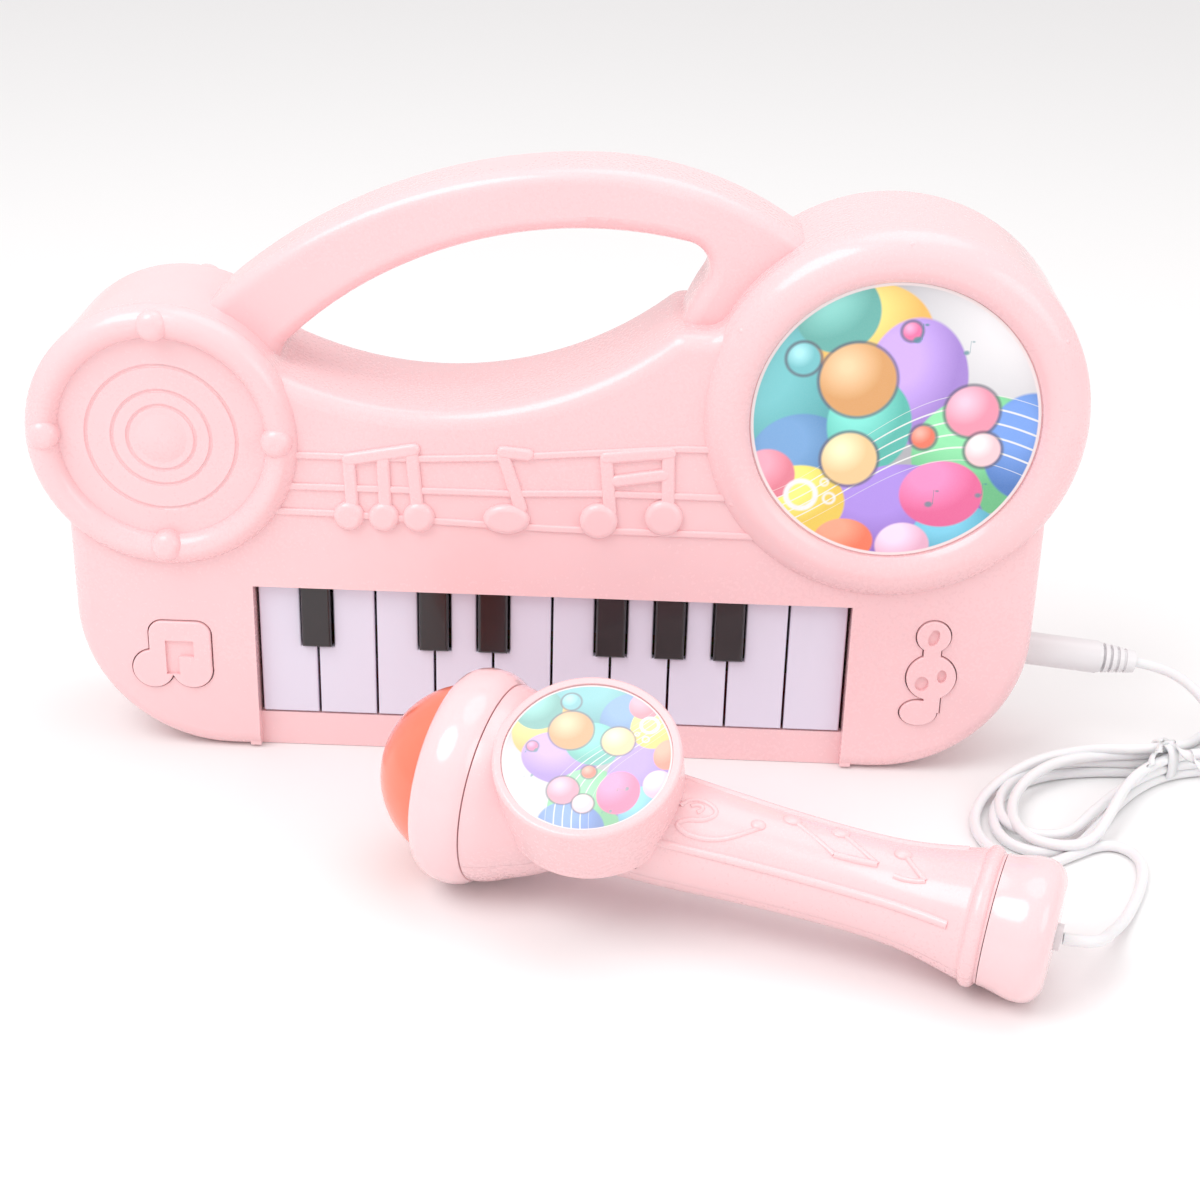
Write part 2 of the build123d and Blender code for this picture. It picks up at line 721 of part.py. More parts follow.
def speaker_magnet():
    y = speaker_face_y - speaker_depth + 5
    ring = rod_y(drum_x, drum_z, magnet_radius, y - 6, y)
    return ring + rod_y(drum_x, drum_z, magnet_radius - 1.5, y - 7.5, y - 5.9)


def speaker_cone():
    y = speaker_face_y - 0.8
    profile = Polyline(
        (speaker_radius - 4.4, y), (6, y - 7.2), (0, y - 5.8),
        (0, y - 6.3), (5.8, y - 7.7), (speaker_radius - 4.7, y - 0.7), (speaker_radius - 4.4, y),
    )
    return turned([profile], drum_x, drum_z)


def main_board():
    plate = box(*main_board_x, main_board_y, main_board_y + board, *main_board_z)
    for x, z in main_posts:
        plate -= rod_y(x, z, screw_radius + 0.2, main_board_y - 1, main_board_y + 4)
    return plate


def board_components():
    y = main_board_y
    pieces = [slab(Pos(90, 108) * Circle(6.5), y - 2.2, y)]
    pieces[0] = fillet(pieces[0].edges().filter_by_position(Axis.Y, y - 2.2, y - 2.2), 1.8)
    for x, z in ((74, 120), (82, 120), (103, 96)):
        can = rod_y(x, z, 3.1, y - 10, y)
        pieces.append(fillet(can.edges().filter_by_position(Axis.Y, y - 10, y - 10), 0.5))
    for step in range(5):
        x = 72 + 6 * step
        pieces.append(box(x - 1.1, x + 1.1, y - 2.2, y, 92, 99))
    pieces.append(box(104, 111, y - 5, y, 112, 121))
    pieces.append(box(70, 84, y - 6, y, 103, 108))
    return Part() + pieces


def leads():
    """Pairs of thin wires inside the case: battery, speaker, switch, jack and key ribbon."""
    wire = 0.7
    routes = {
        "battery_leads": [
            [(-40, 12 - 3 * k, 66 + 2 * k), (-40, 2 - k, 79), (40, 1 - k, 82), (60, -1 - k, 88),
             (72, -1 - k, 90 + 3 * k)]
            for k in (0, 1)
        ],
        "speaker_leads": [
            [(-90, 6 - 2 * k, 94), (-70, 5 - 2 * k, 86 - 3 * k), (-20, 5 - 2 * k, 84 - 2 * k),
             (40, -3 - 2 * k, 82), (58, -4 - 2 * k, 88), (66, -4 - 2 * k, 100)]
            for k in (0, 1)
        ],
        "jack_leads": [
            [(120.5, -4 + 2 * k, 41.5), (120.5, -4 + 2 * k, 66), (112, -3 + 2 * k, 82),
             (100, -2 + 2 * k, 90)]
            for k in (0, 1)
        ],
    }
    solids = {}
    for name, paths in routes.items():
        tubes = []
        for points in paths:
            path = FilletPolyline(*points, radius=4)
            start = Plane(origin=path @ 0, z_dir=path % 0)
            tubes.append(sweep(start * Circle(wire), path=path))
        solids[name] = Part() + tubes
    ribbon = box(40, 58, board_y + board + 0.1, board_y + board + 0.7, 66, 90)
    ribbon += box(57, 76, board_y + board + 0.1, board_y + board + 0.7, 80, 90)
    solids["key_ribbon"] = ribbon
    return solids


# ---------------------------------------------------------------- jack and plug
jack_x = half_width - 0.9
jack_frame = Pos(jack_x, jack_y, jack_z) * Rot(0, jack_droop, 0)


def jack_socket():
    body = box(-15, -4.4, -4, 4, -4.2, 4.2)
    body += rod_x(0, 0, 3.9, -4.8, 0.8)
    body -= rod_x(0, 0, pin_radius + running_gap, -13, 2)
    for step in (0, 1, 2):
        body += box(-13.4 + 3.6 * step, -12.6 + 3.6 * step, -0.8, 0.8, 4.1, 6.4)
    return jack_frame * body


def plug_pin():
    pin = rod_x(0, 0, pin_radius, -9, 2.4)
    pin += Pos(-9, 0, 0) * Sphere(pin_radius)
    for x in (-6.2, -3.4):
        pin -= rod_x(0, 0, 3, x, x + 0.5) - rod_x(0, 0, pin_radius - 0.25, x - 1, x + 2)
    return jack_frame * pin


def cord_plug():
    body = rod_x(0, 0, plug_radius, 1.2, 23)
    body = fillet(body.edges().filter_by_position(Axis.X, 1.1, 1.3), 0.8)
    neck = Pos(28.4, 0, 0) * Rot(0, 90, 0) * Cone(plug_radius - 0.2, 3.2, plug_length - 23)
    body += neck
    for step in range(4):
        x = 24 + 2.1 * step
        body -= rod_x(0, 0, 8, x, x + 0.9) - rod_x(0, 0, 3.0, x - 1, x + 3)
    body -= rod_x(0, 0, pin_radius + 0.02, 0, 2.45)
    return jack_frame * body


# ---------------------------------------------------------------- the cord
plug_end = jack_frame * Pos(plug_length, 0, 0)
plug_exit = plug_end.position

jack_route = [
    (plug_exit.X, plug_exit.Y, plug_exit.Z),
    (175.0, -5.4, 28.2),
    (183.8, -8.4, 23.6),
    (190.6, -13.6, 16.0),
    (196.0, -20.6, 8.6),
    (203.4, -26.6, 3.4),
    (212.4, -28.2, 1.7),
    (219.6, -22.6, 1.6),
    (221.4, -14.0, 1.6),
    (218.6, -6.5, 1.6),
]

mic_route_tail = [
    (135.2, -130.6, 15.0),
    (143.0, -127.4, 9.4),
    (147.0, -118.2, 4.4),
    (149.6, -106.8, 1.8),
    (153.2, -94.8, 1.6),
    (157.0, -82.4, 1.6),
    (159.8, -70.0, 1.6),
    (158.4, -58.6, 1.6),
    (151.6, -50.8, 1.6),
    (145.4, -46.4, 1.6),
]


def corner_radii(points):
    radii = []
    points = [Vector(*p) for p in points]
    for before, corner, after in zip(points, points[1:], points[2:]):
        shorter = min((corner - before).length, (after - corner).length)
        turn = (corner - before).get_angle(after - corner)
        radii.append(0.45 * shorter / tan(radians(turn) / 2))
    return radii


def cord_tube(points, name):
    radii = corner_radii(points)
    path = FilletPolyline(*points, radius=radii)
    start = Plane(origin=path @ 0, z_dir=path % 0)
    tube = sweep(start * Circle(cord_radius), path=path)
    section = 3.141592653589793 * cord_radius**2
    print(name, "radii", [round(r, 1) for r in radii])
    ratio = tube.volume / (section * path.length)
    print(name, "length", round(path.length, 1), "volume ratio", round(ratio, 4))
    return tube


hank_points = [
    (174, -10), (158, -13.5), (141, -19), (131, -24.5), (123.5, -35), (120.5, -49), (121, -60),
    (127, -68), (136, -68.5), (145, -61.5), (156, -50), (168, -36), (176, -29),
    (188, -24), (202, -18), (216, -8), (226, 2), (229, 12), (224, 20), (213, 20), (198, 10), (185, -3),
]


def cord_hank():
    outline = make_face(Spline(*hank_points, periodic=True))
    return extrude(outline, amount=hank_height)


def hank_tie():
    middle = Plane(origin=(175, -19.5, hank_height / 2), x_dir=(-0.476, 0.879, 0), z_dir=(0.879, 0.476, 0))
    outer_ring = extrude(middle * RectangleRounded(25, hank_height + 2.2, 3.4), amount=1.8, both=True)
    return outer_ring & box(100, 260, -100, 60, 0, 40)


# ---------------------------------------------------------------- microphone
def mic_frame():
    yaw, slope = radians(-mic_yaw), radians(-mic_slope)
    along = Vector(cos(yaw) * cos(slope), sin(yaw) * cos(slope), sin(slope))
    side = along.cross(Vector(0, 0, 1)).normalized()
    up = side.cross(along)
    normal = side * cos(radians(badge_tilt)) + up * sin(radians(badge_tilt))
    return Plane(origin=mic_origin, x_dir=along, z_dir=normal), along


mic_plane, mic_along = mic_frame()
mic_profile = [
    (10, 25.2), (16, 22.8), (23, 19.8), (29, 16.7), (36, 15.1), (44, 14.5), (55, 14.1),
    (67, 13.4), (80, 12.7), (95, 12.3), (107, 12.4), (116, 13.2), (123, 14.5), (129.4, 16),
]


def spun(profile):
    return revolve(make_face(profile), axis=Axis.X)


def mic_bell(shrink):
    points = [(u, r - shrink) for u, r in mic_profile]
    first = (7.2, 25.6 - shrink)
    last = (134.8, 15.9 - shrink)
    lines = [
        Line((7.2, 0), first),
        Spline(first, *points),
        Line(points[-1], last),
        Line(last, (134.8, 0)),
        Line((134.8, 0), (7.2, 0)),
    ]
    return spun(lines)


def mic_body():
    body = mic_bell(0)
    body += Pos(132.2, 0, 0) * Rot(0, 90, 0) * Torus(15.2, 2.15)
    body += Pos(badge_u, 0, 0) * extrude(Plane.XY.offset(6) * Circle(badge_radius), amount=badge_height - 6)
    top_rim = body.edges().filter_by_position(Axis.Z, badge_height - 0.01, badge_height + 0.01)
    body = fillet(top_rim, 1.1)
    hollow = mic_bell(mic_wall)
    cup = extrude(Plane.XY.offset(2) * Circle(badge_radius - mic_wall), amount=badge_height - 4.6)
    hollow += Pos(badge_u, 0, 0) * cup
    body -= hollow
    recess = extrude(Plane.XY.offset(badge_height - 0.9) * Circle(label_radius + 0.2), amount=3)
    body -= Pos(badge_u, 0, 0) * recess
    for u in mic_screw_u:
        body += Pos(u, 0, 0) * (Cylinder(3, 40) & mic_bell_band(u))
    body += Pos(mic_screw_u[0], 0, badge_height / 2) * Cylinder(3, badge_height - 4)
    return body


def mic_bell_band(u):
    """Screw pillars stay inside the hollow."""
    return Pos(-u, 0, 0) * mic_bell(mic_wall - 0.3)


mic_screw_u = (20.0, 62.0, 112.0)
mic_seats = {20.0: -14.0, 62.0: -8.0, 112.0: -7.0}


def mic_shells():
    body = mic_body()
    top = body & Pos(60, 0, 30.05) * Box(300, 100, 60)
    bottom = body & Pos(60, 0, -30.05) * Box(300, 100, 60)
    for u in mic_screw_u:
        top -= Pos(u, 0, 2.5) * Cylinder(0.95, 7)
        bottom -= Pos(u, 0, -10) * Cylinder(1.2, 24)
        bottom -= Pos(u, 0, mic_seats[u] - 15) * Cylinder(2.4, 30)
    return top, bottom


def mic_screws():
    pieces = []
    for u in mic_screw_u:
        seat = mic_seats[u]
        head = Pos(u, 0, seat - 0.8) * Cylinder(2.0, 1.6)
        head -= Pos(u, 0, seat - 1.6) * (Box(2.6, 0.5, 1) + Box(0.5, 2.6, 1))
        length = 4.5 - seat
        pieces.append(head + Pos(u, 0, seat + length / 2) * Cylinder(0.9, length))
    return Part() + pieces


def mic_collar():
    lines = [
        Line((-7.2, 22.7), (-7.2, 23.4)),
        Spline((-7.2, 23.4), (-5.0, 26.6), (-0.5, collar_radius), (4.4, 27.4), (6.9, 25.9)),
        Line((6.9, 25.9), (6.9, 22.7)),
        Line((6.9, 22.7), (-7.2, 22.7)),
    ]
    return spun(lines)


def mic_dome():
    skirt, skirt_inner = 22.4, 20.9
    skin = dome_radius - 1.6
    rim = (-sqrt(dome_radius**2 - skirt**2), skirt)
    inner_rim = (-sqrt(skin**2 - skirt_inner**2), skirt_inner)
    mid = (-dome_radius * cos(radians(40)), dome_radius * sin(radians(40)))
    inner_mid = (-skin * cos(radians(40)), skin * sin(radians(40)))
    lines = [
        Line((4, skirt_inner), (4, skirt)),
        Line((4, skirt), rim),
        ThreePointArc(rim, mid, (-dome_radius, 0)),
        Line((-dome_radius, 0), (-skin, 0)),
        ThreePointArc((-skin, 0), inner_mid, inner_rim),
        Line(inner_rim, (4, skirt_inner)),
    ]
    return spun(lines)


def mic_end_cap():
    lines = [
        Line((135.0, 4), (135.0, 16.1)),
        Spline((135.0, 16.1), (140, 17.0), (144.2, 17.55), (147.4, 16.7), (149.4, 14.4), (mic_length, 11.5)),
        Line((mic_length, 11.5), (mic_length, 3.4)),
        Line((mic_length, 3.4), (mic_length - 2, 3.4)),
        Line((mic_length - 2, 3.4), (mic_length - 2, 10.5)),
        Spline((mic_length - 2, 10.5), (147.2, 13.4), (144.6, 15.2), (140, 15.1), (136.8, 14.3)),
        Line((136.8, 14.3), (136.8, 4)),
        Line((136.8, 4), (135.0, 4)),
    ]
    return spun(lines)


def mic_grommet():
    ring = Pos(mic_length - 0.8, 0, 0) * Rot(0, 90, 0) * Cylinder(3.3, 4.4)
    ring += Pos(mic_length - 2.9, 0, 0) * Rot(0, 90, 0) * Cylinder(4.4, 1.6)
    return ring


def mic_capsule():
    can = Pos(-8, 0, 0) * Rot(0, 90, 0) * Cylinder(4.9, 6.5)
    return can + Pos(-3.9, 0, 0) * Rot(0, 90, 0) * Cylinder(3.4, 2)


def mic_board():
    disc = Pos(-2, 0, 0) * Rot(0, 90, 0) * Cylinder(20.6, 1.6)
    return disc


def mic_label():
    lift = badge_height - 0.9
    return Pos(badge_u, 0, 0) * extrude(Plane.XY.offset(lift) * Circle(label_radius), amount=label_sheet)


def place(shape):
    return mic_plane.location * shape


# ---------------------------------------------------------------- write the parts
outer = case_outer()
inner = case_inner()
save(front_shell(), "front_shell")
save(rear_shell(), "rear_shell")
for number in range(1, white_count + 1):
    save(white_key(number), f"white_key_{number}")
for order, after in enumerate(black_after, 1):
    save(black_key(after), f"black_key_{order}")
save(rod_x(pivot_y, pivot_z, rod_radius, -bed_half - cheek, bed_half + cheek), "key_pivot_rod")
save(contact_board(), "key_contact_board")
save(rubber_strip(), "key_rubber_strip")
save(button_pads(), "button_rubber_pads")
save(note_button(), "note_button")
save(clef_button(), "clef_button")
save(case_screws(), "case_screws")
save(board_screws(), "board_screws")
save(batteries(), "batteries")
save(battery_contacts(), "battery_contacts")
save(battery_door(), "battery_door")
save(screw(*door_ear, door_seat_y, back_y - 9), "battery_door_screw")
save(power_slider(), "power_slider")
save(power_switch_body(), "power_switch_body")
save(speaker_basket(), "speaker_basket")
save(speaker_magnet(), "speaker_magnet")
save(speaker_cone(), "speaker_cone")
save(main_board(), "main_board")
save(board_components(), "board_components")
for name, solid in leads().items():
    save(solid, name)
save(rod_y(bezel_x, bezel_z, bezel_label_radius, panel_y - label_sheet, panel_y), "picture_label")
save(jack_socket(), "jack_socket")
save(plug_pin(), "plug_pin")
save(cord_plug(), "cord_plug")
mic_top, mic_bottom = mic_shells()
save(place(mic_top), "mic_front_shell")
save(place(mic_bottom), "mic_rear_shell")
save(place(mic_collar()), "mic_collar")
save(place(mic_dome()), "mic_dome")
save(place(mic_label()), "mic_label")
save(place(mic_end_cap()), "mic_end_cap")
save(place(mic_grommet()), "mic_grommet")
save(place(mic_capsule()), "mic_capsule")
save(place(mic_board()), "mic_board")
save(place(mic_screws()), "mic_screws")
mic_exit = mic_origin + mic_along * (mic_length + 1.8)
mic_route = [(mic_exit.X, mic_exit.Y, mic_exit.Z)] + mic_route_tail
save(cord_tube(jack_route, "cord_lead_jack"), "cord_lead_jack")
save(cord_tube(mic_route, "cord_lead_mic"), "cord_lead_mic")
save(cord_hank(), "cord_hank")
save(hank_tie(), "hank_tie")
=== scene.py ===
import math

import bmesh
import bpy
from mathutils import Matrix, Vector


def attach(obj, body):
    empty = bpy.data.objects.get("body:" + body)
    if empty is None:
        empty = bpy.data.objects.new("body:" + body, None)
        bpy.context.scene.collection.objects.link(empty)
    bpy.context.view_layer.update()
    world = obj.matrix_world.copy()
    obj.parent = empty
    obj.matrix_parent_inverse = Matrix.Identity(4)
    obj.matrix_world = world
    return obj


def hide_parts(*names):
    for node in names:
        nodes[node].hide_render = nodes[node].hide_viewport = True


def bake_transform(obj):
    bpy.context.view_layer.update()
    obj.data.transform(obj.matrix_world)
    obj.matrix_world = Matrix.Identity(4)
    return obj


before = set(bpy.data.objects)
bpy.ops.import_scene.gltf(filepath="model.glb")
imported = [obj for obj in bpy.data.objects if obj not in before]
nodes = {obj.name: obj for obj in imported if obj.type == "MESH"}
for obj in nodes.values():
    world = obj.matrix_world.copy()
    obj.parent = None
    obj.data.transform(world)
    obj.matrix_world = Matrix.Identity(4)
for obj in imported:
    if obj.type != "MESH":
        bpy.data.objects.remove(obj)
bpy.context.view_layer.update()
mm = 0.001
print("frame loaded", len(nodes), "nodes")


def metres(points):
    return [Vector(p) * mm for p in points]


# camera
shot = {
    "place": (24.97, -543.68, 296.67),
    "right": (0.99915, 0.03356, 0.02384),
    "up": (-0.03586, 0.42525, 0.90436),
    "lens": 62.61,
    "sensor": 36.0,
}


def aimCamera():
    right = Vector(shot["right"]).normalized()
    back = right.cross(Vector(shot["up"])).normalized()
    up = back.cross(right)
    data = bpy.data.cameras.new("camera")
    data.lens = shot["lens"]
    data.sensor_width = shot["sensor"]
    data.clip_start = 0.01
    camera = bpy.data.objects.new("camera", data)
    turned = Matrix((right, up, back)).transposed().to_4x4()
    camera.matrix_world = Matrix.Translation(Vector(shot["place"]) * mm) @ turned
    bpy.context.scene.collection.objects.link(camera)
    bpy.context.scene.camera = camera


aimCamera()
print("camera placed")


# cords
cord = {
    "thick": 3.0,
    "jackRoute": [
        (166.2, -5.0, 29.47), (175.0, -5.4, 28.2), (183.8, -8.4, 23.6), (190.6, -13.6, 16.0),
        (196.0, -20.6, 8.6), (203.0, -26.6, 3.4), (212.4, -28.2, 1.7), (220.4, -22.8, 1.6),
        (224.4, -13.5, 1.6), (226.2, -3.5, 1.6), (227.6, 7.3, 1.6), (224.0, 16.0, 1.6),
        (215.3, 19.6, 1.6), (206.6, 16.0, 1.6), (198.5, 5.0, 1.6), (191.0, -4.5, 1.6),
        (184.0, -11.5, 1.6),
    ],
    "tieMiddle": (175.0, -19.5),
    # one turn of the hank from above, measured from the tie: out round the left end and back,
    # then out round the right end and back
    "turnLeft": [
        (-0.8, 1.7), (-8, -0.3), (-20, -0.8), (-34.5, -4.0), (-46, -12), (-52.5, -23.5), (-54, -35.5),
        (-50.4, -44.4), (-41.5, -48), (-32.6, -44.4), (-25, -33), (-17, -20), (-8, -8.7),
    ],
    "turnRight": [
        (0.8, -1.7), (9, 1.3), (21, 3.5), (35.5, 8.0), (48, 15.8), (54, 26.3), (50.6, 35.4),
        (41.3, 39.2), (32.2, 35.4), (25, 25), (17.5, 15.0), (8, 6),
    ],
    "leftSize": [0.97, 0.89, 0.92],
    "rightSize": [0.97, 0.94, 0.96],
    "lean": [0.0, -4.5, 4.0],
    "firstHeight": 1.6,
    "layer": 2.85,
    # the last strand goes round outside the others and comes down to the floor
    "lastStrand": [
        (0, 0, 9.9), (-8.5, -1.8, 9.8), (-21.5, -0.6, 9.0), (-37.5, -4.0, 6.6), (-50.5, -14, 3.2),
        (-57.3, -27, 1.6), (-57.3, -40.5, 1.6), (-50.5, -50.5, 1.6), (-41.5, -52.5, 1.6),
        (-34.5, -47.5, 1.6), (-28, -42.8, 1.6),
    ],
    "micRoute": [
        (147.0, -62.3, 1.6), (150.4, -60.2, 1.6), (155.4, -60.6, 1.6), (159.0, -64.6, 1.6),
        (159.6, -71.0, 1.6), (157.6, -79.0, 1.6), (154.2, -87.5, 1.6), (150.0, -96.5, 2.2),
        (145.6, -105.0, 4.8), (142.0, -113.0, 8.6), (139.6, -120.0, 12.4), (136.6, -126.0, 15.2),
        (132.0, -129.0, 16.7), (127.18, -128.28, 17.05),
    ],
}


def hankPoints():
    points = []
    tieX, tieY = cord["tieMiddle"]
    sizes = zip(cord["leftSize"], cord["rightSize"], cord["lean"])
    for layer, (leftSize, rightSize, lean) in enumerate(sizes):
        for loop, size in ((cord["turnLeft"], leftSize), (cord["turnRight"], rightSize)):
            for x, y in loop:
                far = math.hypot(x, y)
                spread = 1.0 if far < 12 else size
                turn = math.radians(lean) * min(1.0, far / 40)
                px = (x * math.cos(turn) - y * math.sin(turn)) * spread
                py = (x * math.sin(turn) + y * math.cos(turn)) * spread
                sag = max(0.0, min(1.0, (far - 38) / 16))
                height = cord["firstHeight"] + cord["layer"] * layer * (1 - 0.55 * sag)
                points.append((tieX + px, tieY + py, height))
    points += [(tieX + x, tieY + y, z) for x, y, z in cord["lastStrand"]]
    return points


def routeSpline(name, points):
    curve = bpy.data.curves.new(name, "CURVE")
    curve.dimensions = "3D"
    spline = curve.splines.new("NURBS")
    spline.points.add(len(points) - 1)
    for knot, place in zip(spline.points, metres(points)):
        knot.co = (*place, 1.0)
    spline.order_u = 3
    spline.use_endpoint_u = True
    spline.resolution_u = 10
    return curve


def addObject(name, data):
    made = bpy.data.objects.new(name, data)
    bpy.context.scene.collection.objects.link(made)
    return made


def splineLine(curve):
    # the points that a curve with no bevel runs through
    probe = addObject("probe", curve)
    line = bpy.data.meshes.new_from_object(probe)
    path = [v.co.copy() for v in line.vertices]
    bpy.data.objects.remove(probe)
    return path


def runLength(path):
    return sum((b - a).length for a, b in zip(path, path[1:]))


def cordTube(name, points):
    # a closed mesh tube along a route, and the line it follows
    curve = routeSpline(name, points)
    path = splineLine(curve)
    curve.bevel_depth = cord["thick"] * mm / 2
    curve.bevel_resolution = 5
    curve.use_fill_caps = True
    probe = addObject("probe", curve)
    tube = bpy.data.meshes.new_from_object(probe)
    bpy.data.objects.remove(probe)
    for face in tube.polygons:
        face.use_smooth = True
    return addObject(name, tube), path


def makeCords():
    jackCord, jackPath = cordTube("cordJack", cord["jackRoute"] + hankPoints())
    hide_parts("cord_lead_jack", "cord_hank")
    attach(jackCord, "root")
    micCord, micPath = cordTube("cordMic", cord["micRoute"])
    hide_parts("cord_lead_mic")
    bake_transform(micCord)
    print("cord lengths", round(runLength(jackPath), 4), round(runLength(micPath), 4))
    return jackCord, micCord, jackPath, micPath


jackCord, micCord, jackPath, micPath = makeCords()


# mesh helpers
def finishMesh(name, shape, smooth=True):
    bmesh.ops.remove_doubles(shape, verts=shape.verts, dist=1e-6)
    bmesh.ops.recalc_face_normals(shape, faces=shape.faces)
    data = bpy.data.meshes.new(name)
    shape.to_mesh(data)
    shape.free()
    for face in data.polygons:
        face.use_smooth = smooth
    return addObject(name, data)


def bentRod(points, thick, resolution=4):
    # a round bar along a smooth line, as a closed mesh
    curve = bpy.data.curves.new("rod", "CURVE")
    curve.dimensions = "3D"
    spline = curve.splines.new("NURBS")
    spline.points.add(len(points) - 1)
    for knot, place in zip(spline.points, points):
        knot.co = (*place, 1.0)
    spline.order_u = 3
    spline.use_endpoint_u = True
    spline.resolution_u = 6
    curve.bevel_depth = thick / 2
    curve.bevel_resolution = resolution
    curve.use_fill_caps = True
    probe = addObject("probe", curve)
    data = bpy.data.meshes.new_from_object(probe)
    bpy.data.objects.remove(probe)
    return data


def joinMeshes(name, parts):
    shape = bmesh.new()
    for part in parts:
        shape.from_mesh(part)
    data = bpy.data.meshes.new(name)
    shape.to_mesh(data)
    shape.free()
    for face in data.polygons:
        face.use_smooth = True
    return addObject(name, data)


# twist tie round the hank
tie = {
    "middle": (175.0, -19.5, 6.0),
    "halfWide": 4.5,
    "halfTall": 5.75,
    "width": 3.2,
    "sheet": 0.7,
    "tailWidth": 2.6,
    "tailLength": 15.0,
    "shortTail": 12.0,
    "tailTurns": 1.3,
}


def tieTail(start, along, across, reach, twist):
    # a flat tail that twists as it goes
    shape = bmesh.new()
    rows = 18
    bmesh.ops.create_grid(shape, x_segments=rows, y_segments=2, size=0.5)
    for v in shape.verts:
        share = v.co.x + 0.5
        side = v.co.y * tie["tailWidth"] * mm
        turn = twist * share * 2 * math.pi
        upward = Vector((0, 0, 1))
        flat = across * math.cos(turn) + upward * math.sin(turn)
        droop = Vector((0, 0, -4.2 * mm * share * share))
        v.co = start + along * reach * mm * share + flat * side + droop
    bmesh.ops.solidify(shape, geom=shape.faces[:], thickness=tie["sheet"] * mm)
    data = bpy.data.meshes.new("tail")
    bmesh.ops.recalc_face_normals(shape, faces=shape.faces)
    shape.to_mesh(data)
    shape.free()
    return data


def makeTie():
    middle = Vector(tie["middle"]) * mm
    along = Vector((0.879, 0.476, 0)).normalized()
    across = Vector((-0.476, 0.879, 0)).normalized()
    shape = bmesh.new()
    bmesh.ops.create_circle(shape, segments=48, radius=1.0)
    for v in shape.verts:
        reach = (abs(v.co.x) ** 3 + abs(v.co.y) ** 3) ** (-1 / 3)
        side, height = v.co.x * reach, v.co.y * reach
        v.co = middle - along * tie["width"] * mm / 2
        v.co += across * side * tie["halfWide"] * mm + Vector((0, 0, height * tie["halfTall"] * mm))
    grown = bmesh.ops.extrude_edge_only(shape, edges=shape.edges[:])
    moved = [g for g in grown["geom"] if isinstance(g, bmesh.types.BMVert)]
    bmesh.ops.translate(shape, verts=moved, vec=along * tie["width"] * mm)
    bmesh.ops.recalc_face_normals(shape, faces=shape.faces)
    bmesh.ops.solidify(shape, geom=shape.faces[:], thickness=tie["sheet"] * mm)
    band = bpy.data.meshes.new("band")
    shape.to_mesh(band)
    shape.free()
    top = middle + Vector((0, 0, (tie["halfTall"] + 0.2) * mm))
    first = (along * 0.3 - across).normalized()
    second = (-along - across * 0.5).normalized()
    tails = [
        tieTail(top, first, along, tie["tailLength"], tie["tailTurns"]),
        tieTail(top, second, across, tie["shortTail"], -tie["tailTurns"]),
    ]
    made = joinMeshes("twistTie", [band] + tails)
    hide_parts("hank_tie")
    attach(made, "root")
    return made


twistTie = makeTie()
print("cords and tie made")


# microphone relief
micFrame = {
    "origin": (-16.74, -81.29, 28.08),
    "along": (0.94809, -0.30958, -0.07267),
    "badgeTilt": 62.0,
    "badgeAlong": 33.5,
    "profile": [
        (36, 15.1), (44, 14.5), (55, 14.1), (67, 13.4), (80, 12.7), (95, 12.3), (107, 12.4),
        (116, 13.2), (123, 14.5), (129.4, 16),
    ],
    "railAngle": 44.0,
    "railThick": 2.4,
    "railSink": 0.55,
    "reliefThick": 1.5,
    "reliefSink": 0.25,
}


def micAxes():
    along = Vector(micFrame["along"]).normalized()
    side = along.cross(Vector((0, 0, 1))).normalized()
    up = side.cross(along)
    tilt = math.radians(micFrame["badgeTilt"])
    normal = side * math.cos(tilt) + up * math.sin(tilt)
    return along, normal, normal.cross(along)


micAlong, micNormal, micAcross = micAxes()
micOrigin = Vector(micFrame["origin"]) * mm


def handleRadius(u):
    profile = micFrame["profile"]
    for (u0, r0), (u1, r1) in zip(profile, profile[1:]):
        if u <= u1:
            share = max(0.0, (u - u0) / (u1 - u0))
            return r0 + (r1 - r0) * share
    return profile[-1][1]


def onHandle(u, angle, sink=0.0):
    # a place on the handle: distance from the dome, degrees round from the badge side
    turn = math.radians(angle)
    out = micNormal * math.cos(turn) + micAcross * math.sin(turn)
    return micOrigin + micAlong * u * mm + out * (handleRadius(u) - sink) * mm


def makeRails():
    rails = []
    for side in (-1, 1):
        spread = [
            (54, 1.0), (60, 1.0), (70, 0.98), (82, 0.97), (95, 0.97), (106, 0.97),
            (114, 0.98), (121, 1.0), (126, 1.02),
        ]
        points = [
            onHandle(u, side * micFrame["railAngle"] * share, micFrame["railSink"]) for u, share in spread
        ]
        rails.append(bentRod(points, micFrame["railThick"] * mm))
    made = joinMeshes("micRails", rails)
    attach(made, "microphone")
    return made


def noteHead(u, angle, size):
    shape = bmesh.new()
    bmesh.ops.create_uvsphere(shape, u_segments=24, v_segments=12, radius=1.0)
    turn = math.radians(angle)
    out = micNormal * math.cos(turn) + micAcross * math.sin(turn)
    across = out.cross(micAlong)
    sides = (micAlong * size * mm, across * size * 0.8 * mm, out * 0.9 * mm)
    basis = Matrix(sides).transposed().to_4x4()
    place = Matrix.Translation(onHandle(u, angle, 0.15)) @ basis
    bmesh.ops.transform(shape, matrix=place, verts=shape.verts)
    bmesh.ops.recalc_face_normals(shape, faces=shape.faces)
    data = bpy.data.meshes.new("head")
    shape.to_mesh(data)
    shape.free()
    return data


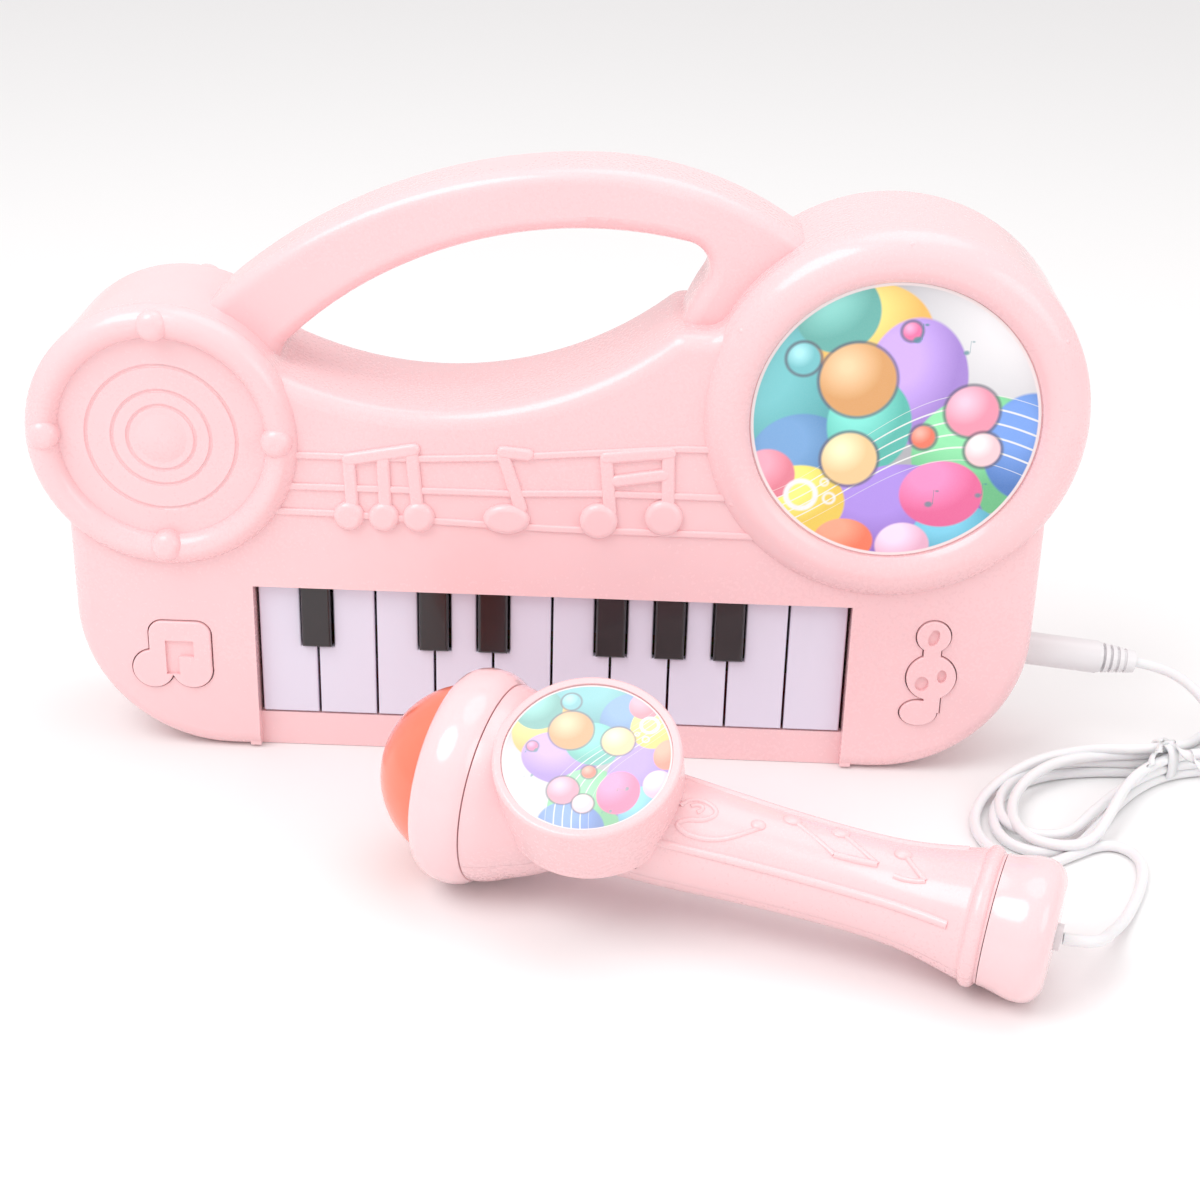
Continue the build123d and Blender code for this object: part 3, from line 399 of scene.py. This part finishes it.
def makeMicNotes():
    parts = []
    thick = micFrame["reliefThick"] * mm
    sink = micFrame["reliefSink"]

    def stroke(points, share=1.0):
        parts.append(bentRod([onHandle(u, a, sink) for u, a in points], thick * share, 3))

    # a looped clef figure, lying along the handle
    clef = [
        (57, -2), (58.5, 10), (63.5, 12), (66.5, 2), (64, -10), (59.5, -14), (57, -22), (61, -30),
        (68, -27), (74, -12), (77, 0),
    ]
    stroke(clef)
    stroke([(61.5, -4), (63, 3), (61, 6), (59.5, 1)], 0.9)
    parts.append(noteHead(76.5, 3, 1.9))
    # two notes under one beam
    stroke([(84, 24), (90, 10), (96, -6)])
    stroke([(96, 26), (101, 12), (106.5, -4)])
    stroke([(96, -6), (101, -6), (106.5, -4)], 1.3)
    parts.append(noteHead(83.6, 25, 2.4))
    parts.append(noteHead(95.6, 27, 2.4))
    # a single note
    stroke([(112, 16), (115, 2), (118.5, -10)])
    stroke([(118.5, -10), (114.5, -15), (111, -12)])
    parts.append(noteHead(111.6, 17, 2.2))
    made = joinMeshes("micNotes", parts)
    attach(made, "microphone")
    return made


micRails = makeRails()
micNotes = makeMicNotes()
print("microphone relief made")


# shader building
class Wire:
    def __init__(self, paint, socket):
        self.paint = paint
        self.socket = socket

    def calc(self, operation, a, b=0.0, clamp=False):
        settings = {"operation": operation, "use_clamp": clamp}
        return self.paint.node("ShaderNodeMath", settings, {0: a, 1: b})

    def __add__(self, other):
        return self.calc("ADD", self, other)

    def __radd__(self, other):
        return self.calc("ADD", other, self)

    def __sub__(self, other):
        return self.calc("SUBTRACT", self, other)

    def __rsub__(self, other):
        return self.calc("SUBTRACT", other, self)

    def __mul__(self, other):
        return self.calc("MULTIPLY", self, other)

    def __rmul__(self, other):
        return self.calc("MULTIPLY", other, self)

    def __truediv__(self, other):
        return self.calc("DIVIDE", self, other)

    def __pow__(self, other):
        return self.calc("POWER", self, other)

    def __abs__(self):
        return self.calc("ABSOLUTE", self)

    def clamped(self):
        return self.calc("ADD", self, 0.0, True)

    def least(self, other):
        return self.calc("MINIMUM", self, other)

    def sine(self):
        return self.calc("SINE", self)

    def remainder(self, other):
        return self.calc("FLOORED_MODULO", self, other)


class Paint:
    def __init__(self, name, color, rough, **fixed):
        self.material = bpy.data.materials.new(name)
        self.material.use_nodes = True
        self.tree = self.material.node_tree
        self.tree.nodes.clear()
        self.shader = self.tree.nodes.new("ShaderNodeBsdfPrincipled")
        output = self.tree.nodes.new("ShaderNodeOutputMaterial")
        self.tree.links.new(self.shader.outputs[0], output.inputs[0])
        self.shader.inputs["Base Color"].default_value = (*color, 1.0)
        self.shader.inputs["Roughness"].default_value = rough
        for socket, value in fixed.items():
            self.shader.inputs[socket.replace("_", " ")].default_value = value
        self.material.diffuse_color = (*color, 1.0)
        self.place = self.node("ShaderNodeTexCoord", {}, {}, "Object")

    def node(self, kind, settings, values, output=0):
        made = self.tree.nodes.new(kind)
        for name, value in settings.items():
            if name == "stops":
                ramp = made.color_ramp.elements
                while len(ramp) < len(value):
                    ramp.new(0.5)
                for stop, (position, color) in zip(ramp, value):
                    stop.position = position
                    stop.color = (*color, 1.0)
            else:
                setattr(made, name, value)
        for name, value in values.items():
            socket = made.inputs[name]
            if isinstance(value, Wire):
                self.tree.links.new(value.socket, socket)
            elif isinstance(value, tuple) and len(value) == 3 and socket.type == "RGBA":
                socket.default_value = (*value, 1.0)
            else:
                socket.default_value = value
        return Wire(self, made.outputs[output])

    def feed(self, socket, wire):
        self.tree.links.new(wire.socket, self.shader.inputs[socket])

    def noise(self, scale, detail=2.0, rough=0.5, place=None):
        values = {"Vector": place or self.place, "Scale": scale, "Detail": detail, "Roughness": rough}
        return self.node("ShaderNodeTexNoise", {}, values, "Fac")

    def mix(self, share, a, b, blend="MIX"):
        settings = {"data_type": "RGBA", "blend_type": blend}
        return self.node("ShaderNodeMix", settings, {0: share, 6: a, 7: b}, 2)

    def dot(self, vector, direction):
        settings = {"operation": "DOT_PRODUCT"}
        return self.node("ShaderNodeVectorMath", settings, {0: vector, 1: direction}, "Value")

    def bump(self, height, strength, distance):
        values = {"Height": height, "Strength": strength, "Distance": distance}
        return self.node("ShaderNodeBump", {}, values)

    def stretched(self, x, y, z):
        settings = {"operation": "MULTIPLY"}
        return self.node("ShaderNodeVectorMath", settings, {0: self.place, 1: (x, y, z)})


# moulded plastics: colour, roughness and how far each drifts
plastics = {
    "pinkShell": {
        "color": (0.94, 0.61, 0.63), "shade": (0.92, 0.57, 0.59),
        "rough": 0.27, "drift": 0.05, "coat": 0.35, "grain": 0.015,
    },
    "pinkGloss": {
        "color": (0.95, 0.64, 0.66), "shade": (0.93, 0.6, 0.62),
        "rough": 0.17, "drift": 0.04, "coat": 0.5, "grain": 0.01,
    },
    "ivoryKey": {
        "color": (0.76, 0.72, 0.84), "shade": (0.73, 0.69, 0.82),
        "rough": 0.3, "drift": 0.05, "coat": 0.25, "grain": 0.015,
    },
    "blackKey": {
        "color": (0.016, 0.012, 0.014), "shade": (0.021, 0.016, 0.018),
        "rough": 0.24, "drift": 0.04, "coat": 0.3, "grain": 0.01,
    },
    "coralDome": {
        "color": (0.93, 0.22, 0.13), "shade": (0.87, 0.17, 0.1),
        "rough": 0.2, "drift": 0.05, "coat": 0.4, "grain": 0.012,
    },
    "whitePlug": {
        "color": (0.8, 0.79, 0.8), "shade": (0.74, 0.73, 0.75),
        "rough": 0.32, "drift": 0.06, "coat": 0.15, "grain": 0.02,
    },
    "blackPlastic": {
        "color": (0.03, 0.03, 0.032), "shade": (0.045, 0.045, 0.047),
        "rough": 0.45, "drift": 0.1, "coat": 0.0, "grain": 0.12,
    },
    "greyRubber": {
        "color": (0.34, 0.34, 0.35), "shade": (0.28, 0.28, 0.29),
        "rough": 0.62, "drift": 0.1, "coat": 0.0, "grain": 0.2,
    },
}


def plasticPaint(name, spec):
    paint = Paint(name, spec["color"], spec["rough"], Coat_Roughness=0.08)
    cloud = paint.noise(22.0, 3.0)
    speck = paint.noise(900.0, 2.0, 0.6)
    flow = paint.noise(6.0, 4.0, 0.55, paint.stretched(1.0, 1.0, 3.5))
    paint.feed("Base Color", paint.mix((cloud * 1.4 - 0.35).clamped(), spec["color"], spec["shade"]))
    worn = (flow - 0.5) * spec["drift"] * 2 + (speck - 0.5) * spec["drift"]
    paint.feed("Roughness", (spec["rough"] + worn).clamped())
    skin = paint.noise(420.0, 3.0, 0.55)
    paint.feed("Normal", paint.bump(skin + flow * 1.5, spec["grain"], 0.0006))
    paint.shader.inputs["Coat Weight"].default_value = spec["coat"]
    return paint


paints = {name: plasticPaint(name, spec) for name, spec in plastics.items()}
for name in ("pinkShell", "pinkGloss", "coralDome"):
    body = paints[name].shader.inputs
    body["Subsurface Weight"].default_value = 0.12
    body["Subsurface Radius"].default_value = (1.0, 0.45, 0.4)
    body["Subsurface Scale"].default_value = 0.004
print("plastics made")


# metals, boards and the pieces inside
def metalPaint(name, color, rough, streak):
    paint = Paint(name, color, rough, Metallic=1.0)
    lines = paint.noise(60.0, 4.0, 0.6, paint.stretched(*streak))
    tarnish = paint.noise(35.0, 4.0)
    dull = tuple(c * 0.72 for c in color)
    paint.feed("Base Color", paint.mix((tarnish * 1.6 - 0.5).clamped(), color, dull))
    paint.feed("Roughness", (rough + (lines - 0.5) * 0.25 + (tarnish - 0.5) * 0.1).clamped())
    paint.feed("Normal", paint.bump(lines, 0.1, 0.0002))
    return paint


paints["zincSteel"] = metalPaint("zincSteel", (0.55, 0.55, 0.56), 0.32, (1, 14, 1))
paints["nickel"] = metalPaint("nickel", (0.70, 0.67, 0.60), 0.2, (14, 1, 1))


def boardPaint():
    paint = Paint("phenolicBoard", (0.30, 0.16, 0.05), 0.5)
    weave = paint.noise(500.0, 2.0)
    across = paint.dot(paint.place, (1, 0, 0))
    tall = paint.dot(paint.place, (0, 0, 1))
    wobble = paint.noise(70.0, 1.0) * 0.004
    rows = abs((tall + wobble).remainder(0.0036) - 0.0018)
    columns = abs((across + wobble).remainder(0.0052) - 0.0026)
    track = ((0.0005 - rows.least(columns)) * 6000.0).clamped()
    bare = paint.mix(weave, (0.33, 0.18, 0.06), (0.24, 0.12, 0.04))
    paint.feed("Base Color", paint.mix(track, bare, (0.16, 0.22, 0.05)))
    paint.feed("Roughness", 0.55 - track * 0.2)
    paint.feed("Normal", paint.bump(track, 0.3, 0.0001))
    return paint


def cellPaint():
    # plain cell jacket with one band round the cap end
    paint = Paint("cellJacket", (0.06, 0.14, 0.32), 0.25, Coat_Weight=0.4)
    across = paint.dot(paint.place, (1, 0, 0))
    band = ((0.004 - abs(abs(across) - 0.016)) * 4000.0).clamped()
    scuff = paint.noise(120.0, 5.0, 0.65)
    body = paint.mix((scuff * 2 - 0.8).clamped(), (0.06, 0.14, 0.32), (0.09, 0.19, 0.40))
    paint.feed("Base Color", paint.mix(band, body, (0.60, 0.58, 0.52)))
    paint.feed("Roughness", 0.22 + scuff * 0.15)
    return paint


def conePaint():
    paint = Paint("pressedPaper", (0.03, 0.03, 0.03), 0.85)
    fibre = paint.noise(700.0, 4.0, 0.7)
    paint.feed("Base Color", paint.mix(fibre, (0.022, 0.022, 0.022), (0.06, 0.058, 0.055)))
    paint.feed("Roughness", 0.75 + fibre * 0.2)
    paint.feed("Normal", paint.bump(fibre, 0.4, 0.0003))
    return paint


def wirePaint():
    paint = Paint("wireSkin", (0.45, 0.03, 0.03), 0.4)
    cloud = paint.noise(90.0, 2.0)
    paint.feed("Base Color", paint.mix(cloud, (0.50, 0.03, 0.025), (0.36, 0.02, 0.02)))
    paint.feed("Roughness", 0.34 + cloud * 0.14)
    return paint


def cordPaint():
    paint = Paint("cordSkin", (0.82, 0.82, 0.83), 0.38, Subsurface_Weight=0.08, Subsurface_Scale=0.002)
    cloud = paint.noise(45.0, 3.0)
    ripple = paint.noise(700.0, 3.0, 0.6)
    paint.feed("Base Color", paint.mix((cloud * 1.5 - 0.4).clamped(), (0.84, 0.84, 0.85), (0.77, 0.76, 0.78)))
    paint.feed("Roughness", 0.33 + ripple * 0.12)
    paint.feed("Normal", paint.bump(ripple, 0.12, 0.0002))
    return paint


paints["phenolicBoard"] = boardPaint()
paints["cellJacket"] = cellPaint()
paints["pressedPaper"] = conePaint()
paints["wireSkin"] = wirePaint()
paints["cordSkin"] = cordPaint()


# printed labels: plain coloured hills, balls and staff lines
labelArt = {
    "bezelMiddle": (90.1, 106.1),
    "bezelRadius": 38.2,
    "badgeRadius": 20.8,
    # across, up, radius, squash, colour
    "shapes": [
        (-0.75, 0.10, 0.62, 1.2, (0.05, 0.34, 0.36)),
        (-0.62, -0.35, 0.40, 1.0, (0.05, 0.20, 0.42)),
        (-0.20, 0.62, 0.42, 0.9, (0.90, 0.50, 0.10)),
        (-0.45, 0.78, 0.30, 1.0, (0.12, 0.45, 0.40)),
        (0.12, 0.30, 0.36, 1.3, (0.36, 0.22, 0.66)),
        (-0.18, -0.02, 0.30, 1.2, (0.08, 0.50, 0.42)),
        (0.62, -0.22, 0.50, 0.9, (0.12, 0.50, 0.22)),
        (0.95, -0.15, 0.34, 1.2, (0.05, 0.18, 0.52)),
        (0.10, -0.78, 0.60, 0.8, (0.22, 0.12, 0.50)),
        (0.50, -0.86, 0.34, 0.8, (0.06, 0.38, 0.52)),
        (0.36, -0.52, 0.30, 0.85, (0.80, 0.12, 0.32)),
        (-0.62, -0.62, 0.32, 0.9, (0.85, 0.62, 0.08)),
        (-0.86, -0.42, 0.20, 1.0, (0.80, 0.22, 0.30)),
        (0.12, -0.92, 0.20, 0.9, (0.82, 0.46, 0.62)),
        (-0.30, -0.90, 0.22, 0.8, (0.90, 0.20, 0.10)),
    ],
    # balls with a pale highlight, standing in front
    "balls": [
        (-0.28, 0.30, 0.27, (0.72, 0.36, 0.12)),
        (-0.30, -0.28, 0.20, (0.90, 0.62, 0.30)),
        (0.52, 0.10, 0.19, (0.85, 0.30, 0.42)),
        (0.62, -0.18, 0.13, (0.95, 0.62, 0.66)),
        (0.20, -0.10, 0.09, (0.85, 0.18, 0.10)),
        (-0.66, 0.44, 0.12, (0.16, 0.56, 0.60)),
        (0.06, 0.66, 0.07, (0.90, 0.16, 0.38)),
    ],
    "rings": [(-0.62, -0.56, 0.13), (-0.42, -0.58, 0.055), (-0.46, -0.46, 0.04)],
    "notes": [(0.10, 0.60, 0.075), (0.28, -0.60, 0.07), (0.62, -0.52, 0.06), (0.44, 0.52, 0.055)],
}


def labelPaint(name, middle, acrossWay, upWay, radius, fade):
    paint = Paint(name, (0.8, 0.8, 0.8), 0.22, Coat_Roughness=0.06, Coat_Weight=0.35)
    across = (paint.dot(paint.place, acrossWay) - middle.dot(Vector(acrossWay))) / (radius * mm)
    up = (paint.dot(paint.place, upWay) - middle.dot(Vector(upWay))) / (radius * mm)

    def disc(x, y, size, squash, sharp=60.0):
        return ((size - ((across - x) ** 2.0 + ((up - y) / squash) ** 2.0) ** 0.5) * sharp).clamped()

    # sky: white at the upper right, greyer towards the middle
    glow = disc(0.75, 0.75, 1.1, 1.0, 1.1)
    color = paint.mix(glow, (0.42, 0.43, 0.46), (0.86, 0.86, 0.88))
    for x, y, size, squash, tint in labelArt["shapes"]:
        light = tuple(min(1.0, c * 1.5 + 0.10) for c in tint)
        ramp = disc(x - size * 0.35, y + size * 0.45, size * 1.1, squash, 1.4 / size)
        color = paint.mix(disc(x, y, size, squash), color, paint.mix(ramp, tint, light))
    # staff: five pale lines that swing across the lower half
    swing = up + 0.35 - (across * 2.2 + 0.7).sine() * 0.26 - across * 0.16
    pitch = 0.088
    spread = 1.0 + across * 0.25
    bent = swing / spread
    line = ((0.008 - abs(bent.remainder(pitch) - pitch / 2)) * 260.0).clamped()
    within = ((pitch * 2.5 - abs(bent)) * 200.0).clamped()
    color = paint.mix(line * within * 0.85, color, (0.90, 0.92, 0.88))
    for x, y, size, tint in labelArt["balls"]:
        rim = disc(x, y, size + 0.022, 1.0)
        color = paint.mix(rim * 0.75, color, (0.10, 0.09, 0.14))
        light = tuple(min(1.0, c * 1.25 + 0.25) for c in tint)
        ramp = disc(x - size * 0.3, y + size * 0.35, size * 0.9, 1.0, 1.3 / size)
        color = paint.mix(disc(x, y, size, 1.0), color, paint.mix(ramp, tint, light))
    for x, y, size in labelArt["rings"]:
        ring = disc(x, y, size, 1.0) * (1.0 - disc(x, y, size * 0.72, 1.0))
        color = paint.mix(ring, color, (0.92, 0.92, 0.92))
    for x, y, size in labelArt["notes"]:
        head = disc(x, y, size * 0.5, 0.8)
        stem = ((size * 0.07 - abs(across - x - size * 0.42)) * 200.0).clamped()
        reach = ((size * 0.8 - abs(up - y - size * 0.8)) * 200.0).clamped()
        flag = disc(x + size * 0.75, y + size * 1.45, size * 0.3, 0.6)
        mark = (head + stem * reach + flag).clamped()
        color = paint.mix(mark * 0.8, color, (0.05, 0.25, 0.30))
    dots = paint.noise(2600.0, 1.0)
    color = paint.mix(fade + dots * 0.05, color, (0.93, 0.90, 0.90))
    edge = ((across ** 2.0 + up ** 2.0) ** 0.5 - 0.975) * 120.0
    paint.feed("Base Color", paint.mix(edge.clamped(), color, (0.90, 0.82, 0.82)))
    paint.feed("Roughness", 0.20 + paint.noise(40.0, 3.0) * 0.1)
    paint.feed("Normal", paint.bump(paint.noise(60.0, 2.0), 0.05, 0.0004))
    return paint


bezelX, bezelZ = labelArt["bezelMiddle"]
bezelMiddle = Vector((bezelX, 0, bezelZ)) * mm
bezelRadius = labelArt["bezelRadius"]
paints["bezelPrint"] = labelPaint("bezelPrint", bezelMiddle, (1, 0, 0), (0, 0, 1), bezelRadius, 0.0)
badgeMiddle = micOrigin + micAlong * micFrame["badgeAlong"] * mm
# the badge print is turned a quarter round on the handle
badgeAcross = tuple(-micAcross)
badgeUp = tuple(-micAlong)
badgeRadius = labelArt["badgeRadius"]
paints["badgePrint"] = labelPaint("badgePrint", badgeMiddle, badgeAcross, badgeUp, badgeRadius, 0.22)
print("labels painted")


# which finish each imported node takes
finishes = {
    "pinkShell": [
        "front_shell", "rear_shell", "note_button", "clef_button", "battery_door", "mic_front_shell",
        "mic_rear_shell",
    ],
    "pinkGloss": ["mic_collar", "mic_end_cap"],
    "ivoryKey": [f"white_key_{n}" for n in range(1, 11)],
    "blackKey": [f"black_key_{n}" for n in range(1, 7)],
    "coralDome": ["mic_dome"],
    "whitePlug": ["cord_plug", "mic_grommet"],
    "blackPlastic": [
        "board_components", "power_switch_body", "jack_socket", "power_slider", "speaker_basket",
    ],
    "greyRubber": ["key_rubber_strip", "button_rubber_pads"],
    "zincSteel": [
        "key_pivot_rod", "case_screws", "board_screws", "battery_door_screw", "mic_screws",
        "speaker_magnet",
    ],
    "nickel": ["battery_contacts", "plug_pin", "mic_capsule"],
    "phenolicBoard": ["key_contact_board", "main_board", "mic_board"],
    "cellJacket": ["batteries"],
    "pressedPaper": ["speaker_cone"],
    "wireSkin": ["battery_leads", "speaker_leads", "jack_leads", "key_ribbon"],
    "bezelPrint": ["picture_label"],
    "badgePrint": ["mic_label"],
}


def paintPiece(piece, name):
    piece.data.materials.clear()
    piece.data.materials.append(paints[name].material)


for finish, names in finishes.items():
    for nodeName in names:
        paintPiece(nodes[nodeName], finish)
for piece in (micRails, micNotes):
    paintPiece(piece, "pinkShell")
for piece in (jackCord, micCord, twistTie):
    paintPiece(piece, "cordSkin")
print("finishes given")


runLength(jackPath)
runLength(micPath)


# floor and lights
studio = {
    "floor": (0.90, 0.895, 0.895),
    "sky": (1.0, 0.985, 0.985),
    "skyStrength": 0.86,
    # name, place, aim, size, power
    "lights": [
        ("keyLight", (-0.55, -0.55, 1.05), (0.0, 0.0, 0.08), 0.8, 6.0),
        ("topLight", (0.25, 0.10, 1.20), (0.05, -0.03, 0.05), 0.9, 2.6),
        ("fillLight", (0.95, -0.70, 0.55), (0.05, -0.02, 0.06), 0.7, 1.8),
    ],
}


def makeStudio():
    shape = bmesh.new()
    bmesh.ops.create_grid(shape, x_segments=1, y_segments=1, size=6.0)
    floor = finishMesh("floor", shape, False)
    paint = Paint("floorPaint", studio["floor"], 0.6)
    cloud = paint.noise(1.5, 2.0)
    paint.feed("Base Color", paint.mix(cloud, studio["floor"], tuple(c * 0.985 for c in studio["floor"])))
    floor.data.materials.append(paint.material)
    world = bpy.data.worlds.new("studio")
    bpy.context.scene.world = world
    world.use_nodes = True
    sky = world.node_tree.nodes["Background"]
    sky.inputs["Color"].default_value = (*studio["sky"], 1.0)
    sky.inputs["Strength"].default_value = studio["skyStrength"]
    for name, place, aim, size, power in studio["lights"]:
        lamp = bpy.data.lights.new(name, "AREA")
        lamp.shape = "DISK"
        lamp.size = size
        lamp.energy = power
        holder = addObject(name, lamp)
        holder.location = place
        holder.rotation_mode = "QUATERNION"
        holder.rotation_quaternion = (Vector(aim) - Vector(place)).to_track_quat("-Z", "Y")


makeStudio()
bpy.context.scene.view_settings.view_transform = "Standard"
print("studio lit")
